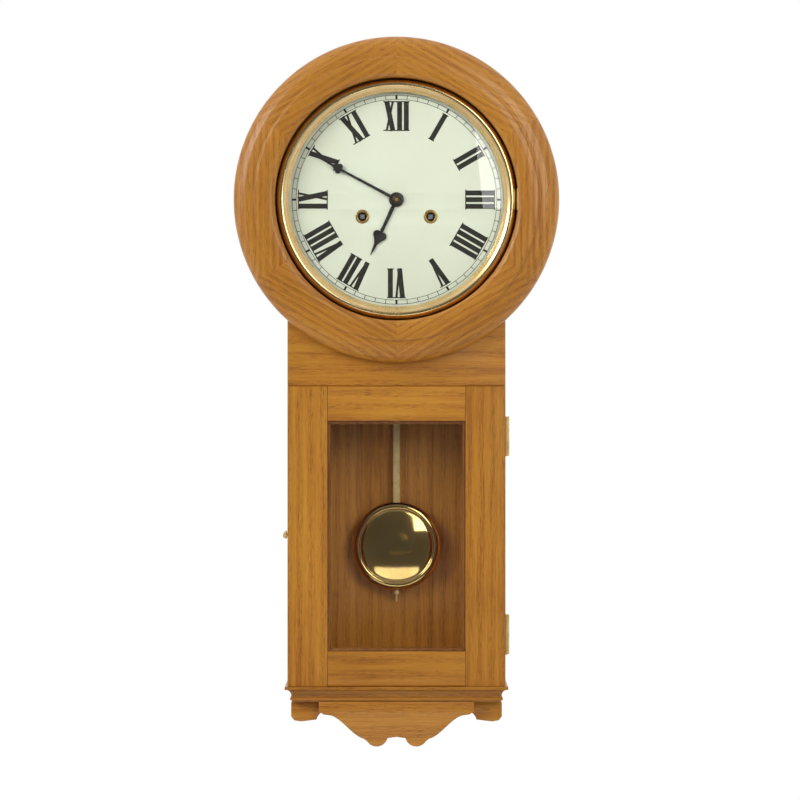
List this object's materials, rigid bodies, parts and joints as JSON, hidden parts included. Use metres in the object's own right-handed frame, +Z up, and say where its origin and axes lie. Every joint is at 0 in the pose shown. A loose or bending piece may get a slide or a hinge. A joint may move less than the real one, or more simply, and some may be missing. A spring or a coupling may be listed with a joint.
{
  "type": "wall clock",
  "caption": "Round-headed drop wall clock: oak case, glazed bezel and trunk door, Roman dial, spade hands, brass pendulum, and a time-and-strike movement.",
  "frame": {"origin": "on the back board's rear face, level with the centre of the dial", "axes": "+X to the right as the clock is looked at, +Y into the wall, +Z up"},
  "size_m": [0.36, 0.1302, 0.7854],
  "materials": {
    "oak": "satin honey-coloured oak",
    "brass": "polished, lightly aged",
    "steel": "blued and bright steel",
    "glass": "clear",
    "dial_enamel": "cream enamel with a printed chapter ring",
    "black_enamel": "black, semi-gloss"
  },
  "bodies": {
    "case": {"back_board": "oak", "case_side_left": "oak", "case_side_right": "oak", "case_top": "oak", "case_floor": "oak", "head_board": "oak", "head_ring": "oak", "base_moulding": "oak", "bottom_apron": "oak", "corner_bracket_left": "oak", "corner_bracket_right": "oak", "hanger_plate": "steel", "dial_plate": "dial_enamel", "door_hinge_upper_case_leaf": "brass", "door_hinge_lower_case_leaf": "brass", "hook_pivot_screw": "brass", "bezel_hinge_case_leaf": "brass", "back_plate": "brass", "front_plate": "brass", "suspension_post": "brass", "gong_base": "steel", "gong_coil": "steel", "time_mainspring": "steel", "strike_mainspring": "steel"},
    "trunk_door": {"door_stile_left": "oak", "door_stile_right": "oak", "door_top_rail": "oak", "door_bottom_rail": "oak", "door_glass": "glass", "door_hinge_upper_door_leaf": "brass", "door_hinge_lower_door_leaf": "brass", "door_hook_pin": "brass"},
    "hook": {"door_hook": "brass"},
    "bezel": {"bezel_ring": "brass", "bezel_glass": "glass", "bezel_hinge_bezel_leaf": "brass"},
    "pendulum": {"suspension_spring": "steel", "pendulum_rod": "brass"},
    "bob": {"pendulum_bob": "brass"},
    "nut": {"rating_nut": "brass"},
    "verge": {"anchor_and_crutch": "steel"},
    "centre": {"centre_wheel": "brass", "minute_hand": "black_enamel", "hand_nut": "brass"},
    "time_main": {"time_main_wheel": "brass"},
    "time_winding": {"time_winding_arbor": "steel"},
    "time_pawl": {"time_click": "steel"},
    "second": {"second_wheel": "brass"},
    "third": {"third_wheel": "brass"},
    "escape": {"escape_wheel": "brass"},
    "minute": {"minute_wheel": "brass"},
    "hour": {"hour_wheel": "brass", "hour_hand": "black_enamel"},
    "strike_main": {"strike_main_wheel": "brass"},
    "strike_winding": {"strike_winding_arbor": "steel"},
    "strike_pawl": {"strike_click": "steel"},
    "pins": {"pin_wheel": "brass"},
    "warning": {"warning_wheel": "brass"},
    "fly_body": {"fly": "brass"},
    "hammer_body": {"hammer": "brass"}
  },
  "joints": [
    {"name": "trunk_door_hinge", "type": "hinge", "parent": "case", "child": "trunk_door", "pos_m": [0.1232, -0.09015, -0.372], "axis": [0, 0, 1], "range_deg": [0, 110]},
    {"name": "door_hook_swing", "type": "hinge", "parent": "case", "child": "hook", "pos_m": [-0.123, -0.07, -0.372], "axis": [-1, 0, 0], "range_deg": [0, 100]},
    {"name": "bezel_hinge", "type": "hinge", "parent": "case", "child": "bezel", "pos_m": [0.1349, -0.1215, 0], "axis": [0, 0, 1], "range_deg": [0, 90]},
    {"name": "pendulum_swing", "type": "hinge", "parent": "case", "child": "pendulum", "pos_m": [0, -0.023, 0.044], "axis": [0, 1, 0], "range_deg": [-3.5, 3.5], "deforming": ["suspension_spring"]},
    {"name": "bob_slide", "type": "slide", "parent": "pendulum", "child": "bob", "axis": [0, 0, 1], "range_m": [-0.0021, 0.0021]},
    {"name": "rating_nut_turn", "type": "hinge", "parent": "bob", "child": "nut", "pos_m": [0, -0.023, -0.439], "axis": [0, 0, 1], "range_deg": [-1100, 1100]},
    {"name": "verge_rock", "type": "hinge", "parent": "case", "child": "verge", "pos_m": [0, -0.05, 0.044], "axis": [0, 1, 0], "range_deg": [-3.6, 3.6]},
    {"name": "minute_hand_turn", "type": "hinge", "parent": "case", "child": "centre", "pos_m": [0, -0.05, 0], "axis": [0, 1, 0], "continuous": true},
    {"name": "second_turn", "type": "hinge", "parent": "case", "child": "second", "pos_m": [0.01079, -0.05, -0.02026], "axis": [0, 1, 0], "continuous": true},
    {"name": "time_main_turn", "type": "hinge", "parent": "case", "child": "time_main", "pos_m": [0.03775, -0.05, -0.0188], "axis": [0, 1, 0], "continuous": true},
    {"name": "third_turn", "type": "hinge", "parent": "case", "child": "third", "pos_m": [0.01369, -0.05, 0.01652], "axis": [0, 1, 0], "continuous": true},
    {"name": "escape_turn", "type": "hinge", "parent": "case", "child": "escape", "pos_m": [0, -0.05, 0.024], "axis": [0, 1, 0], "continuous": true},
    {"name": "minute_wheel_turn", "type": "hinge", "parent": "case", "child": "minute", "pos_m": [0, -0.082, -0.0156], "axis": [0, 1, 0], "continuous": true},
    {"name": "hour_hand_turn", "type": "hinge", "parent": "case", "child": "hour", "pos_m": [0, -0.095, 0], "axis": [0, 1, 0], "continuous": true},
    {"name": "time_winding_turn", "type": "hinge", "parent": "time_main", "child": "time_winding", "pos_m": [0.03775, -0.09, -0.0188], "axis": [0, -1, 0], "continuous": true},
    {"name": "time_click_lift", "type": "hinge", "parent": "time_main", "child": "time_pawl", "pos_m": [0.05175, -0.0617, -0.0188], "axis": [0, 1, 0], "range_deg": [0, 8], "stiffness_Nm_per_rad": 0.001},
    {"name": "pin_wheel_turn", "type": "hinge", "parent": "case", "child": "pins", "pos_m": [-0.033, -0.05, 0.00778], "axis": [0, 1, 0], "continuous": true},
    {"name": "strike_main_turn", "type": "hinge", "parent": "case", "child": "strike_main", "pos_m": [-0.03775, -0.05, -0.0188], "axis": [0, 1, 0], "continuous": true},
    {"name": "warning_turn", "type": "hinge", "parent": "case", "child": "warning", "pos_m": [-0.023, -0.05, 0.02382], "axis": [0, 1, 0], "continuous": true},
    {"name": "fly_turn", "type": "hinge", "parent": "case", "child": "fly_body", "pos_m": [-0.034, -0.05, 0.03311], "axis": [0, 1, 0], "continuous": true},
    {"name": "strike_winding_turn", "type": "hinge", "parent": "strike_main", "child": "strike_winding", "pos_m": [-0.03775, -0.09, -0.0188], "axis": [0, 1, 0], "continuous": true},
    {"name": "strike_click_lift", "type": "hinge", "parent": "strike_main", "child": "strike_pawl", "pos_m": [-0.05175, -0.0617, -0.0188], "axis": [0, -1, 0], "range_deg": [0, 8], "stiffness_Nm_per_rad": 0.001},
    {"name": "hammer_lift", "type": "hinge", "parent": "case", "child": "hammer_body", "pos_m": [-0.058, -0.05, 0.006], "axis": [0, -1, 0], "range_deg": [0, 5]}
  ],
  "couplings": [
    {"joint": "rating_nut_turn", "follows": "bob_slide", "rad_per_m": 8976},
    {"joint": "verge_rock", "follows": "pendulum_swing", "ratio": 1},
    {"joint": "second_turn", "follows": "minute_hand_turn", "ratio": -0.13333},
    {"joint": "time_main_turn", "follows": "minute_hand_turn", "ratio": 0.014815},
    {"joint": "third_turn", "follows": "minute_hand_turn", "ratio": -10},
    {"joint": "escape_turn", "follows": "minute_hand_turn", "ratio": 70},
    {"joint": "minute_wheel_turn", "follows": "minute_hand_turn", "ratio": -0.33333},
    {"joint": "hour_hand_turn", "follows": "minute_hand_turn", "ratio": 0.083333},
    {"joint": "strike_main_turn", "follows": "pin_wheel_turn", "ratio": -0.11111},
    {"joint": "warning_turn", "follows": "pin_wheel_turn", "ratio": -8},
    {"joint": "fly_turn", "follows": "pin_wheel_turn", "ratio": 56}
  ]
}
